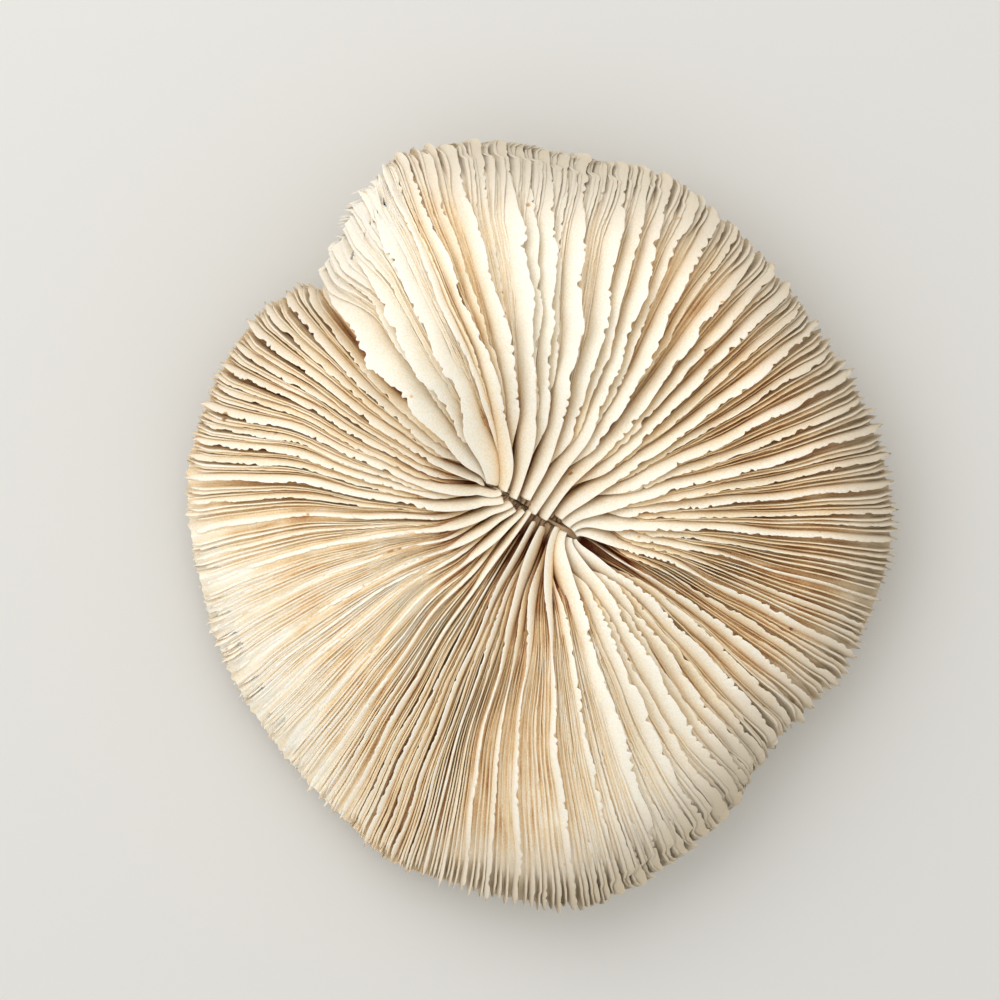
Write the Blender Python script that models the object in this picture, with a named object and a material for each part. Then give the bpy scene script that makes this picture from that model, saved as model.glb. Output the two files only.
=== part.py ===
"""Mushroom coral skeleton: the dried, free disc of one large stony coral polyp, mouth up.

Run with: blender --background --python part.py

The skeleton grew as one piece, so it is one solid. It has a thick disc with a flat scar under it, a slit
for a mouth, and blades, called septa, that fan out of the slit to the rim. Septa come in ranks: 24
principal ones, 24 between those, and 48 between all of them. The finer ranks, thinner than a millimetre,
lie in the grooves, whose floors stand for them here. Metres, +Z up, origin at the middle of the scar,
under the mouth.
"""

import math

import bmesh
import bpy
import numpy as np

MM = 0.001

# The mouth is a slit, and the septa leave it as a family of confocal curves: "out" is the distance from
# the slit, and "bearing" the angle about it, in degrees counterclockwise from the slit's right-hand end.
MOUTH_HALF_LENGTH = 9.0
MOUTH_TURN = -30.6
MOUTH_HALF_WIDTH = 1.6
MOUTH_FLOOR = 9.5

# How each principal septum runs. Its crest has one bearing at each of these distances out, in millimetres.
OUT_STATIONS = (3.0, 10.0, 20.0, 37.0, 57.0)
CORNER_ROUNDING = 2.5
# A row is one septum, in order round the mouth: the crest's bearings, how far out its tip reaches, how
# far its crest leans over sideways near the mouth and further out, how much its ground is lifted, and how
# much the ground droops at the rim. All but the bearings are in millimetres.
PRINCIPAL_SEPTA = (
    ((10.0, 6.0, 10.0, 9.6, 7.3), 59.5, -2.4, 1.0, -2.0, 0.0),
    ((27.0, 20.5, 24.0, 25.3, 25.6), 61.5, -2.5, -0.6, -1.0, -1.0),
    ((40.0, 35.3, 40.2, 41.5, 43.5), 60.0, -2.6, -1.0, 0.0, 0.0),
    ((54.0, 49.8, 55.7, 60.0, 63.0), 57.5, -2.5, -1.4, 0.5, 0.0),
    ((69.0, 66.8, 70.5, 76.5, 78.6), 58.0, -2.8, -2.0, 1.5, 0.0),
    ((82.5, 80.0, 85.2, 92.0, 96.5), 60.5, -2.5, -2.6, 3.0, 1.0),
    ((96.5, 95.5, 102.0, 107.5, 110.5), 59.7, -2.0, -3.2, 4.5, 3.0),
    ((108.0, 112.5, 116.5, 119.5, 123.5), 61.7, -2.2, -3.8, 6.5, 5.0),
    ((120.0, 127.0, 131.7, 137.0, 139.3), 63.0, -3.0, -1.8, 8.5, 5.0),
    ((165.0, 158.5, 152.0, 150.2, 148.5), 59.5, 4.0, 3.6, 9.0, 4.0),
    ((176.0, 174.5, 170.6, 167.0, 161.0), 53.8, 3.6, 6.0, 7.0, 3.0),
    ((189.0, 188.5, 184.5, 180.3, 178.0), 56.5, 1.2, 1.4, -1.0, 1.0),
    ((212.0, 205.0, 198.5, 192.3, 194.0), 57.0, 1.4, 1.0, 0.0, 1.0),
    ((228.0, 218.5, 209.3, 204.2, 206.5), 57.5, 1.4, 1.0, 0.0, 3.0),
    ((243.0, 233.0, 222.8, 221.7, 224.5), 56.7, 1.4, 0.9, 0.0, 5.0),
    ((254.0, 244.5, 236.3, 237.0, 240.0), 57.5, 1.2, 0.6, 0.5, 6.0),
    ((264.0, 256.0, 250.0, 253.0, 255.0), 58.7, 1.0, -0.5, 1.0, 7.0),
    ((272.0, 267.0, 265.0, 266.5, 268.5), 61.0, 0.6, -0.7, 2.0, 7.0),
    ((278.0, 275.5, 276.0, 277.0, 278.5), 64.0, -0.4, -0.4, 3.0, 6.0),
    ((286.0, 284.0, 288.0, 288.3, 290.5), 65.0, -1.2, 0.4, 3.5, 5.0),
    ((303.0, 303.5, 307.3, 306.5, 307.3), 67.3, -0.8, 0.9, 3.5, 4.0),
    ((322.0, 328.5, 325.0, 322.3, 321.5), 63.8, 2.4, 2.8, 2.5, 3.0),
    ((338.0, 345.0, 342.0, 337.3, 337.5), 59.5, 2.8, 4.0, 0.5, 1.0),
    ((352.0, 354.5, 355.5, 351.0, 348.0), 56.7, 1.6, 2.6, -1.5, 0.0),
)
COUNT = len(PRINCIPAL_SEPTA)
TURN_PER_SEPTUM = 360.0 / COUNT

# The lobe at the upper left folds over its neighbour: the lift ends between these two places, counted in
# principal septa, and the rim is notched there.
FOLD_FROM, FOLD_TO = 10.1, 10.45
FOLD_PLACE, FOLD_NOTCH, FOLD_NOTCH_HALF_WIDTH = 10.14, 2.4, 0.13

# The ground that the septa stand on, and how tall a principal septum stands on it, at distances out.
GROUND_OUT = (0.0, 5.0, 10.0, 20.0, 30.0, 40.0, 50.0, 60.0)
GROUND_HEIGHT = (9.5, 11.0, 13.0, 16.5, 16.8, 15.2, 12.6, 9.8)
BLADE_OUT = (0.0, 2.0, 4.0, 7.0, 12.0, 20.0, 30.0, 40.0, 50.0, 60.0)
BLADE_HEIGHT = (4.0, 7.0, 9.8, 11.4, 12.4, 12.4, 11.6, 10.0, 7.8, 5.0)
LIFT_FROM, LIFT_TO = 6.0, 32.0
DROOP_FROM, DROOP_TO = 38.0, 60.0

# Ranks of septa in this solid: each rank's height as a share of a principal septum's, where it starts and
# where it has risen to that height, its thickness at the crest, and how far its tip stands out past the
# rim.
RANKS = {
    "principal": {"share": 1.0, "starts": 0.5, "risen": 3.0, "thick": 0.9, "past_rim": 0.0},
    "second": {"share": 0.92, "starts": 6.5, "risen": 12.0, "thick": 0.8, "past_rim": -0.6},
    "third": {"share": 0.76, "starts": 14.0, "risen": 24.0, "thick": 0.65, "past_rim": -1.4},
}
RANK_OF_RIDGE = ("principal", "third", "second", "third")
RIDGES_PER_SEPTUM = len(RANK_OF_RIDGE)
RIDGES = COUNT * RIDGES_PER_SEPTUM
COLUMNS_PER_RIDGE = 3

# The grooves' floors stand for the finest septa, which fill more of the groove further out.
GROOVE_OUT = (0.0, 14.0, 22.0, 34.0, 60.0)
GROOVE_SHARE = (0.0, 0.08, 0.22, 0.44, 0.5)
GROOVE_SHORT_OF_RIM = 3.4

# Rings of points from the mouth to the blades' tips, then back under the disc to the scar.
RINGS_OUT = (MOUTH_HALF_WIDTH, 3.0, 5.0, 8.0, 12.0, 17.0, 23.0, 30.0, 37.0, 44.0, 50.0)
SHARES_FROM_LAST_RING_TO_TIP = (0.55, 1.0)
UNDER_RINGS = (0.95, 0.62)
RIM_THICKNESS = 2.2
TIP_DROP = 0.42
SCAR_RADIUS = 22.0
UNDER_BOW = 1.25

# The lower face is faintly ribbed: how far a rib lies from the middle of its septum, as a share of the
# step to the next principal one, how far short of the rim it ends, and how far it stands out downwards.
RIB_AT = 0.06
RIB_SHORT_OF_RIM = 1.6
RIB_HEIGHT = 0.5
RIB_LEAN_SHARE = 0.6

CORAL_COLOUR = (0.84, 0.77, 0.65, 1.0)
CORAL_ROUGHNESS = 0.85


def smooth_step(low, high, x):
    """0 below low, 1 above high, and an S-shaped rise between."""
    t = min(1.0, max(0.0, (x - low) / (high - low)))
    return t * t * (3.0 - 2.0 * t)


def round_the_mouth(values, place):
    """A quantity given at each principal septum, read at any place round the ring by a closed curve."""
    i = math.floor(place)
    f = place - i
    a, b, c, d = (values[(i + k) % COUNT] for k in (-1, 0, 1, 2))
    return b + 0.5 * f * (c - a + f * (2 * a - 5 * b + 4 * c - d + f * (3 * (b - c) + d - a)))


def column(number):
    return [row[number] for row in PRINCIPAL_SEPTA]


def crest_bearings(place):
    """The bearings, at the stations, of a crest at this place between principal septa."""
    found = []
    for station in range(len(OUT_STATIONS)):
        strays = [row[0][station] - TURN_PER_SEPTUM * i for i, row in enumerate(PRINCIPAL_SEPTA)]
        found.append(round_the_mouth(strays, place) + TURN_PER_SEPTUM * place)
    return found


def plan_point(bearing, out):
    """The point in plan, in millimetres, at a bearing and a distance out from the slit."""
    angle = math.radians(bearing)
    along = math.hypot(out, MOUTH_HALF_LENGTH) * math.cos(angle)
    across = out * math.sin(angle)
    turn = math.radians(MOUTH_TURN)
    x = along * math.cos(turn) - across * math.sin(turn)
    y = along * math.sin(turn) + across * math.cos(turn)
    return np.array((x, y))


def smooth_along(stations, values, out):
    """Values given at the stations, read anywhere along with a rounded corner at each station."""
    shifts = (-CORNER_ROUNDING, 0.0, CORNER_ROUNDING)
    return sum(np.interp(out + shift, stations, values) for shift in shifts) / len(shifts)


def lean_at(place, out):
    """How far sideways the crest of a principal septum leans from its foot."""
    near, far = round_the_mouth(column(2), place), round_the_mouth(column(3), place)
    return float(np.interp(out, (0.0, 10.0, 37.0, 60.0), (0.5 * near, near, far, 0.6 * far)))


def crest_point(place, out):
    return plan_point(smooth_along(OUT_STATIONS, crest_bearings(place), out), out)


def sideways(place, out):
    """The unit vector in plan across the course of a septum, counterclockwise."""
    ahead = crest_point(place, out + 0.5) - crest_point(place, max(0.3, out - 0.5))
    across = np.array((-ahead[1], ahead[0]))
    return across / np.linalg.norm(across)


def reach_at(place):
    """How far out the rim of the blades lies, with the notch beside the fold."""
    notch = FOLD_NOTCH * math.exp(-(((place - FOLD_PLACE) / FOLD_NOTCH_HALF_WIDTH) ** 2))
    return round_the_mouth(column(1), place) - notch


def lift_at(place):
    lift = round_the_mouth(column(4), place)
    if math.floor(FOLD_PLACE) <= place < math.floor(FOLD_PLACE) + 1:
        before, after = PRINCIPAL_SEPTA[10][4], PRINCIPAL_SEPTA[11][4]
        lift = before + (after - before) * smooth_step(FOLD_FROM, FOLD_TO, place)
    return lift


def ground_at(place, out):
    """Height of the disc's upper face."""
    height = float(np.interp(out, GROUND_OUT, GROUND_HEIGHT))
    height += lift_at(place) * smooth_step(LIFT_FROM, LIFT_TO, out)
    return height - round_the_mouth(column(5), place) * smooth_step(DROOP_FROM, DROOP_TO, out)


def underside_at(place, out):
    """Height of the disc's lower face: flat across the scar, then bowed up to the rim."""
    rim = reach_at(place) - GROOVE_SHORT_OF_RIM
    share = min(1.0, max(0.0, (out - SCAR_RADIUS) / (rim - SCAR_RADIUS)))
    return (ground_at(place, rim) - RIM_THICKNESS) * share**UNDER_BOW


def ridge_point(place, rank, side, out, reach):
    """A point on the crest of a septum: side is -1 or 1 for the left or right edge of its flat top."""
    tallest = float(np.interp(out, BLADE_OUT, BLADE_HEIGHT))
    risen = smooth_step(rank["starts"], rank["risen"], out)
    groove = float(np.interp(out, GROOVE_OUT, GROOVE_SHARE))
    share = groove + (rank["share"] - groove) * risen
    foot = crest_point(place, out) - sideways(place, out) * lean_at(place, out)
    across = lean_at(place, out) * share + side * 0.5 * rank["thick"]
    x, y = foot + sideways(place, out) * across
    height = ground_at(place, out) + tallest * share
    if out >= reach:
        height = ground_at(place, out) + tallest * share * TIP_DROP
    return x, y, height


def groove_point(place, out, reach):
    """A point on the floor of the groove between two septa."""
    out = min(out, reach - GROOVE_SHORT_OF_RIM)
    share = float(np.interp(out, GROOVE_OUT, GROOVE_SHARE))
    foot = crest_point(place, out) - sideways(place, out) * lean_at(place, out) * (1.0 - share)
    height = ground_at(place, out) + float(np.interp(out, BLADE_OUT, BLADE_HEIGHT)) * share
    return foot[0], foot[1], height


def upper_point(ridge, part, ring):
    """A point of the upper face: part 0 is the groove before the ridge, 1 and 2 its crest's two edges."""
    rank = RANKS[RANK_OF_RIDGE[ridge % RIDGES_PER_SEPTUM]]
    place = ridge / RIDGES_PER_SEPTUM
    if part == 0:
        place -= 0.5 / RIDGES_PER_SEPTUM
    reach = reach_at(place) + (rank["past_rim"] if part else 0.0)
    if ring < len(RINGS_OUT):
        out = RINGS_OUT[ring]
    else:
        share = SHARES_FROM_LAST_RING_TO_TIP[ring - len(RINGS_OUT)]
        out = RINGS_OUT[-1] + (reach - RINGS_OUT[-1]) * share
    if part == 0:
        return groove_point(place, out, reach)
    return ridge_point(place, rank, -1 if part == 1 else 1, out, reach)


def under_point(ridge, part, ring):
    """A point of the lower face, which is faintly ribbed under the septa near the rim."""
    place = (ridge + (0.0 if part else -0.5)) / RIDGES_PER_SEPTUM
    place += (0.0, -RIB_AT, RIB_AT)[part]
    rim = reach_at(place) - (RIB_SHORT_OF_RIM if part else GROOVE_SHORT_OF_RIM)
    if ring == len(UNDER_RINGS):
        bearing = smooth_along(OUT_STATIONS, crest_bearings(place), SCAR_RADIUS)
        angle = math.radians(bearing + MOUTH_TURN)
        return SCAR_RADIUS * math.cos(angle), SCAR_RADIUS * math.sin(angle), 0.0
    out = rim * UNDER_RINGS[ring]
    x, y = crest_point(place, out) - sideways(place, out) * lean_at(place, out) * RIB_LEAN_SHARE
    rib = RIB_HEIGHT * UNDER_RINGS[ring] ** 4 if part else 0.0
    return x, y, underside_at(place, out) - rib + RIB_HEIGHT


def coral_mesh():
    """A ball whose rings become the rings of the coral, and whose meridians its septa and grooves."""
    columns = RIDGES * COLUMNS_PER_RIDGE
    upper_rings = len(RINGS_OUT) + len(SHARES_FROM_LAST_RING_TO_TIP)
    under_rings = len(UNDER_RINGS) + 1
    rings = upper_rings + under_rings + 1
    mesh = bmesh.new()
    bmesh.ops.create_uvsphere(mesh, u_segments=columns, v_segments=rings, radius=1.0)
    for vertex in mesh.verts:
        x, y, z = vertex.co
        ring = round(math.acos(max(-1.0, min(1.0, z))) / math.pi * rings)
        if ring == 0:
            vertex.co = (0.0, 0.0, MOUTH_FLOOR * MM)
            continue
        if ring == rings:
            vertex.co = (0.0, 0.0, 0.0)
            continue
        number = round(math.atan2(y, x) / math.tau * columns) % columns
        ridge, part = divmod(number, COLUMNS_PER_RIDGE)
        if ring <= upper_rings:
            point = upper_point(ridge, part, ring - 1)
        else:
            point = under_point(ridge, part, ring - 1 - upper_rings)
        vertex.co = [value * MM for value in point]
    return mesh


def coral_material():
    """Bleached aragonite: matt, chalky and cream white."""
    material = bpy.data.materials.new("bleached_aragonite")
    material.use_nodes = True
    shader = material.node_tree.nodes["Principled BSDF"]
    shader.inputs["Base Color"].default_value = CORAL_COLOUR
    shader.inputs["Roughness"].default_value = CORAL_ROUGHNESS
    shader.inputs["Metallic"].default_value = 0.0
    return material


def build():
    for old in list(bpy.data.objects):
        bpy.data.objects.remove(old)
    group = bpy.data.collections.new("mushroom_coral")
    bpy.context.scene.collection.children.link(group)
    mesh = coral_mesh()
    data = bpy.data.meshes.new("coral_skeleton")
    mesh.to_mesh(data)
    mesh.free()
    data.materials.append(coral_material())
    coral = bpy.data.objects.new("coral_skeleton", data)
    group.objects.link(coral)


build()
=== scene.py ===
"""Mushroom coral skeleton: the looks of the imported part, laid out as a Blender add-on and run as a script.

The skeleton is one grown piece. Here its disc and its five ranks of blades, called septa, are modelled in
place of the plain solid, each rank as one mesh. Lengths in the tables are millimetres in the part's frame:
+Z up, origin at the middle of the resting scar, straight under the mouth.
"""

import math

import bpy
import numpy as np
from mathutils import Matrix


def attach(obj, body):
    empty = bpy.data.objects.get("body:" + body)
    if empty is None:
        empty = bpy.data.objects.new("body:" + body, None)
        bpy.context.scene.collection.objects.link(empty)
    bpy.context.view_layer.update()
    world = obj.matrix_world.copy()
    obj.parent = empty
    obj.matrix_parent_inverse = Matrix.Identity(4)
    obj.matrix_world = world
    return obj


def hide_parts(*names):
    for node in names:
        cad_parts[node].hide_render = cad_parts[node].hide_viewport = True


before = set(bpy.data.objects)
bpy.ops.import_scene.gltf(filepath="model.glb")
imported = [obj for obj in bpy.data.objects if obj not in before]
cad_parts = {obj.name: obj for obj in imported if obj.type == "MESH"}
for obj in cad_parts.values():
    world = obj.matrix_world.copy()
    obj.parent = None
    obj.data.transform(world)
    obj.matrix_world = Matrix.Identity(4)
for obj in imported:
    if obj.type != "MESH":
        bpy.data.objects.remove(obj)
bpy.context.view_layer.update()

bl_info = {
    "name": "Mushroom coral skeleton",
    "version": (1, 0, 0),
    "blender": (4, 5, 0),
    "location": "View3D > Sidebar > Coral",
    "description": "Grows the disc and the septa of a mushroom coral skeleton and sets it on a pale stage",
    "category": "Add Mesh",
}

MM = 0.001
NODE = "coral_skeleton"
BODY = "root"

# The mouth is a slit, and the septa leave it as a family of confocal curves: "out" is the distance from
# the slit, and "bearing" the angle about it, in degrees counterclockwise from the slit's right-hand end.
MOUTH_HALF_LENGTH = 9.0
MOUTH_TURN = math.radians(-30.6)

# How each principal septum runs. Its crest has one bearing at each of these distances out.
OUT_STATIONS = (3.0, 10.0, 20.0, 37.0, 57.0)
BEND_SHIFTS = np.linspace(-4.5, 4.5, 19)
# A row is one septum, in order round the mouth: the crest's bearings, how far out its tip reaches, how far its
# crest leans over sideways near the mouth and further out, how much its ground is lifted, how much the ground
# droops at the rim, how tall the finest septa stand beside it, as a share of their usual height, how far up the
# gaps are closed, as a share of its height, how much painted shade greys it at the rim, where it faces away from
# the light, how far from the slit it starts, and how many degrees its bearing turns by at the slit.
PRINCIPAL_SEPTA = (
    ((10.0, 6.0, 10.0, 9.6, 7.3), 59.5, -2.4, 1.0, -2.0, 0.0, 1.0, 0.7, 0.7, 0.4, 0.0),
    ((27.0, 20.5, 24.0, 25.3, 25.6), 61.5, -2.5, -0.6, -1.0, -1.0, 1.0, 0.66, 0.8, 0.9, 0.0),
    ((40.0, 35.3, 40.2, 41.5, 43.5), 60.0, -2.6, -1.0, 0.0, 0.0, 1.0, 0.62, 0.8, 0.6, 0.0),
    ((54.0, 49.8, 55.7, 60.0, 63.0), 57.5, -2.5, -1.4, 0.5, 0.0, 0.9, 0.58, 0.7, 1.0, 0.0),
    ((69.0, 66.8, 70.5, 76.5, 78.6), 58.0, -2.8, -2.0, 1.5, 0.0, 0.8, 0.58, 0.7, -0.4, 0.0),
    ((82.5, 80.0, 85.2, 92.0, 96.5), 60.5, -2.5, -2.6, 3.0, 1.0, 0.7, 0.64, 0.7, -0.7, 0.0),
    ((96.5, 95.5, 102.0, 107.5, 110.5), 59.7, -2.0, -3.2, 4.5, 3.0, 0.6, 0.7, 0.8, 1.0, 0.0),
    ((108.0, 112.5, 116.5, 119.5, 123.5), 61.7, -2.2, -3.8, 6.5, 5.0, 0.6, 0.72, 0.8, -0.2, 0.0),
    ((120.0, 127.0, 131.7, 137.0, 139.3), 63.0, -3.0, -1.8, 8.5, 5.0, 0.9, 0.68, 0.4, 0.4, 0.0),
    ((165.0, 158.5, 152.0, 150.2, 148.5), 59.5, 4.0, 3.6, 9.0, 4.0, 0.6, 0.8, 0.15, -0.2, 0.0),
    ((176.0, 174.5, 170.6, 167.0, 161.0), 53.8, 3.6, 6.0, 7.0, 3.0, 0.5, 0.58, 0.4, 0.4, 0.0),
    ((189.0, 188.5, 184.5, 180.3, 178.0), 56.5, 1.2, 1.4, -1.0, 1.0, 1.0, 0.44, 0.4, 0.8, 14.0),
    ((212.0, 205.0, 198.5, 192.3, 194.0), 57.0, 1.4, 1.0, 0.0, 1.0, 1.0, 0.44, 0.3, -0.3, 22.0),
    ((228.0, 218.5, 209.3, 204.2, 206.5), 57.5, 1.4, 1.0, 0.0, 3.0, 1.04, 0.66, 0.1, 0.7, 16.0),
    ((243.0, 233.0, 222.8, 221.7, 224.5), 56.7, 1.4, 0.9, 0.0, 5.0, 1.08, 0.9, 0.0, 0.3, 10.0),
    ((254.0, 244.5, 236.3, 237.0, 240.0), 57.5, 1.2, 0.6, 0.5, 6.0, 1.08, 0.93, 0.0, 0.9, 6.0),
    ((264.0, 256.0, 250.0, 253.0, 255.0), 58.7, 1.0, -0.5, 1.0, 7.0, 1.06, 0.9, 0.03, 0.4, 3.0),
    ((272.0, 267.0, 265.0, 266.5, 268.5), 61.0, 0.6, -0.7, 2.0, 7.0, 1.04, 0.72, 0.1, -0.4, 0.0),
    ((278.0, 275.5, 276.0, 277.0, 278.5), 64.0, -0.4, -0.4, 3.0, 6.0, 1.0, 0.58, 0.25, 1.0, 0.0),
    ((286.0, 284.0, 288.0, 288.3, 290.5), 65.0, -1.2, 0.4, 3.5, 5.0, 0.9, 0.7, 0.6, 0.9, 0.0),
    ((303.0, 303.5, 307.3, 306.5, 307.3), 67.3, -0.8, 0.9, 3.5, 4.0, 0.9, 0.8, 1.0, -0.3, 0.0),
    ((322.0, 328.5, 325.0, 322.3, 321.5), 63.8, 2.4, 2.8, 2.5, 3.0, 0.7, 0.8, 1.0, -0.2, 0.0),
    ((338.0, 345.0, 342.0, 337.3, 337.5), 59.5, 2.8, 4.0, 0.5, 1.0, 0.8, 0.76, 1.0, 0.5, 0.0),
    ((352.0, 354.5, 355.5, 351.0, 348.0), 56.7, 1.6, 2.6, -1.5, 0.0, 1.0, 0.72, 0.8, 0.8, 0.0),
)
COUNT = len(PRINCIPAL_SEPTA)
TURN_PER_SEPTUM = 360.0 / COUNT
TURNS = TURN_PER_SEPTUM * np.arange(COUNT)
STRAYS = np.array([row[0] for row in PRINCIPAL_SEPTA]).T - TURNS
REACHES, LEANS_NEAR, LEANS_FAR, LIFTS, DROOPS, FINE_SHARES, FILLS, RIM_GREYS, STARTS, SLIT_TURNS = (
    np.array([row[k] for row in PRINCIPAL_SEPTA]) for k in range(1, 11)
)
SLIT_TURN_OUT = (5.0, 0.0)

# The lobe at the upper left folds over its neighbour: the lift ends between these two places, counted in
# principal septa, and the rim is notched there.
FOLD_FROM, FOLD_TO = 10.02, 10.2
FOLD_PLACE, FOLD_NOTCH, FOLD_NOTCH_HALF_WIDTH = 10.14, 2.4, 0.13

# The ground that the septa stand on, and how tall a principal septum stands on it, at distances out.
GROUND_OUT = (0.0, 5.0, 10.0, 20.0, 30.0, 40.0, 50.0, 60.0)
GROUND_HEIGHT = (9.5, 11.0, 13.0, 16.5, 16.8, 15.2, 12.6, 9.8)
BLADE_OUT = (0.0, 1.5, 3.0, 6.0, 12.0, 20.0, 30.0, 40.0, 50.0, 60.0)
BLADE_HEIGHT = (9.8, 10.8, 11.4, 11.8, 12.4, 12.4, 11.6, 10.0, 7.8, 5.0)
LIFT_OUT, DROOP_OUT = (6.0, 32.0), (38.0, 60.0)

# About how far out the rim is, how far out the direction of a course is still measured, and how far to each side.
RIM_OUT = 55.0
COURSE_OUT, COURSE_STEP = 0.8, 0.5

# A septum's foot stands aside of its crest by a share of the table's lean and by the hook of its top, which
# bends over the more, the more the septum leans. The hook is gentle in the flank and strong at the crest, less
# in the thick bands, and less at the tips, between these distances from the disc's edge.
LEAN_OUT, LEAN_SHARE = (10.0, 37.0), 0.3
LEAN_FADE_OUT, LEAN_FADE = (0.0, 8.0), (0.5, 1.0)
HOOK_OUT, HOOK_AT_LEAST = (6.0, 30.0), (1.2, 1.0)
HOOK_SOFTENING, HOOK_PER_LEAN = 0.8, 0.6
HOOK_WIDTHS, HOOK_POWERS = (1.0, 4.0), (9.0, 6.0)
HOOK_OF_LOW_SEPTA, HOOK_OF_BANDS = 4.0, 0.45
TIPS_STRAIGHTENED, TIPS_STRAIGHTENED_FROM_RIM = 0.2, (-6.0, 2.0)

# The disc under the septa: how far it stops short of their tips, and of dense ones, how its edge is torn or
# toothed, how thick it is at the rim, and the flat scar below it.
DISC_SHORT_OF_TIPS = (1.6, 1.1)
DISC_EDGE_TEAR, DISC_TEETH = 0.6, 0.9
RIM_THICKNESS, UNDER_BOW, SCAR_RADIUS = 2.2, 1.25, 22.0
# Its rings crowd towards the mouth, and its columns follow the blades' places from the first of these distances
# out to the last. Below, the ribs grow towards the rim, and the scar has shallow dents.
TOP_RINGS, UNDER_RINGS, SCAR_RINGS = 22, 48, 5
DISC_START, DISC_CROWDING = 0.25, 1.6
COLUMNS_START, COLUMNS_SPAN, COLUMNS_END = 2.0, 54.0, 56.0
RIB_GROWTH, RIB_AT_LEAST = 0.7, 0.2
SCAR_SHARES, SCAR_DENTS = (0.85, 0.1), 0.08

# Spongy matter fills the mouth's floor up to this height above the ground, as far as this distance out.
MOUTH_FILL, MOUTH_FILL_OUT, MOUTH_ROUGHNESS = 8.6, 5.0, 0.5

# The gaps between the septa are filled up to a share of their height: by this share near the mouth, and by the
# table's further out, which dense places reach nearer. The broad septa's gaps are shallow again near the rim.
# The second distances of FILL_ENDS_FROM_RIM are the felted rim's.
DENSE_FILLS = (0.6, 0.8)
FILL_FROM_MOUTH, FILL_NEAR_MOUTH = (0.0, 4.0), 0.5
FILL_OUT, FILL_OUT_OF_DENSE = (11.0, 24.0), (6.0, 15.0)
FILL_OF_BROAD_AT_RIM, FILL_OF_BROAD_FROM_RIM = 0.92, (-14.0, -4.0)
FILL_ENDS_FROM_RIM = ((-2.0, -0.3), (0.8, 1.5))
# Low ridges on the fill stand for the finest septa, and rise to double their height at the felted rim.
FILL_RIDGE, FILL_RIDGE_UNEVEN, FILL_RIDGE_OUT, FILL_RIDGE_FROM_RIM = 0.5, (0.6, 1.4), (8.0, 22.0), (-8.0, 0.0)
# The rim is felt where its grey is below the first of these, and single tips where it is above the second.
FELTED_GREYS = (0.15, 0.65)

# Each septum's ends: how they stray, how they are rounded, and how thin they get. A broad septum ends in a blunt
# upright edge, and a narrow one in a tip.
START_OUTS = np.arange(1.0, 30.0, 0.5)
START_STRAY, PRINCIPAL_START_STRAY = (-0.5, 1.0), (-0.2, 0.2)
START_ROUNDING, START_TAPER, THINNEST = 0.5, 0.9, 0.05
GROWN_AT_START, BLUNT_START = 0.5, 1.2
TIP_STRAY, TIPS_PULLED_IN, FINE_SHORT_OF_BROAD = (-0.9, 0.4), 0.3, 0.2
TIP_ROUNDING, TIP_ROUNDING_OF_DENSE = 3.5, 0.6
TIP_TAPER, TIP_TAPER_OF_BROAD, TIP_TAPER_POWER = 2.0, 0.4, 0.7
TIP_SHARE, TIP_SHARE_OF_BROAD, TIP_SHARE_OF_DENSE = 0.42, 0.9, 0.3
TIP_TEAR, TIP_TEAR_LONG = 0.3, (2.5, 0.5)
FOOT_IN_DISC, LOW_EDGE, LOW_EDGE_BOW = 0.8, 0.2, 1.6
LOW_TIP_PER_BROAD, BELOW_GROUND_AT_TIP = 2.2, 1.0
# Cross-sections crowd at a septum's start: these shares of them lie within these distances of it.
RING_SHARES, RINGS_FROM_START = (0.0, 0.04, 0.16, 1.0), (0.0, 0.8, 9.0)

# Crests roll up and down and are unequal in height, the broad ones more, and so are their thicknesses.
CREST_UNEVEN, CREST_UNEVEN_OF_BROAD, CREST_ROLL = 0.03, 0.03, 12.0
THICK_UNEVEN, THICK_ROLL = 0.12, 12.0
SHARE_OUT, SHARE_AT_RIM = (36.0, 56.0), 0.98
BROAD_THIRD_SEPTA, BROAD_THIRD_FROM_RIM, THIRD_PER_BROAD = 0.3, (-3.0, -12.0), 2.5
# The finest septa keep this share at the rim, stand lower on the side that a coarser crest hangs over, and
# always show above the fill by the first height and up to the second more.
FINE_RANKS = ("fourth", "fifth")
FINE_SHARE_AT_RIM, FINE_SHARE_FROM_RIM = 0.92, (-14.0, -2.0)
BEHIND_A_CREST, BEHIND_SOFTENING, BEHIND_MIDWAY = 0.12, 0.6, 0.4
FINE_ABOVE_FILL = (0.4, 0.5)

# Sideways waves that all septa share, and those of their own: long ones, and on broad septa short ones.
SHARED_WAVE_OUT, SHARED_WAVE_SPREAD = (8.0, 26.0), 1.6
OWN_WAVE, OWN_WAVE_OUT, OWN_WAVE_SIZE, OWN_WAVE_OF_BROAD = 16.0, (6.0, 20.0), 0.2, 0.6
SHORT_WAVE, SHORT_WAVE_OUT, SHORT_WAVE_OF_BROAD = 6.0, (12.0, 25.0), 0.5

# A crest is this share as thick as its septum, near the mouth and further out, and rounded by this share of that.
CREST_OUT, CREST_SHARES, CREST_ROUNDING, FLANK_POWER = (3.0, 15.0), (0.5, 0.3), 0.4, 6
TORN_RANKS_FROM = 0.5

# Teeth: their spacing, and how much is worn away at each point and in longer steps, in patches.
NOTCH_SPACING, WORN_SPACING = 0.8, 3.0
WORN_AT_POINTS, WORN_IN_STEPS = 0.15, 0.3
TEETH_OUT, TEETH_PATCH, TEETH_MEAN, TEETH_SWING, FEWEST_TEETH = (9.0, 20.0), 7.0, 0.7, 0.8, 0.15
KNOT_STRAY, STEP_LENGTHS = 0.35, (0.5, 2.0)
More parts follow.
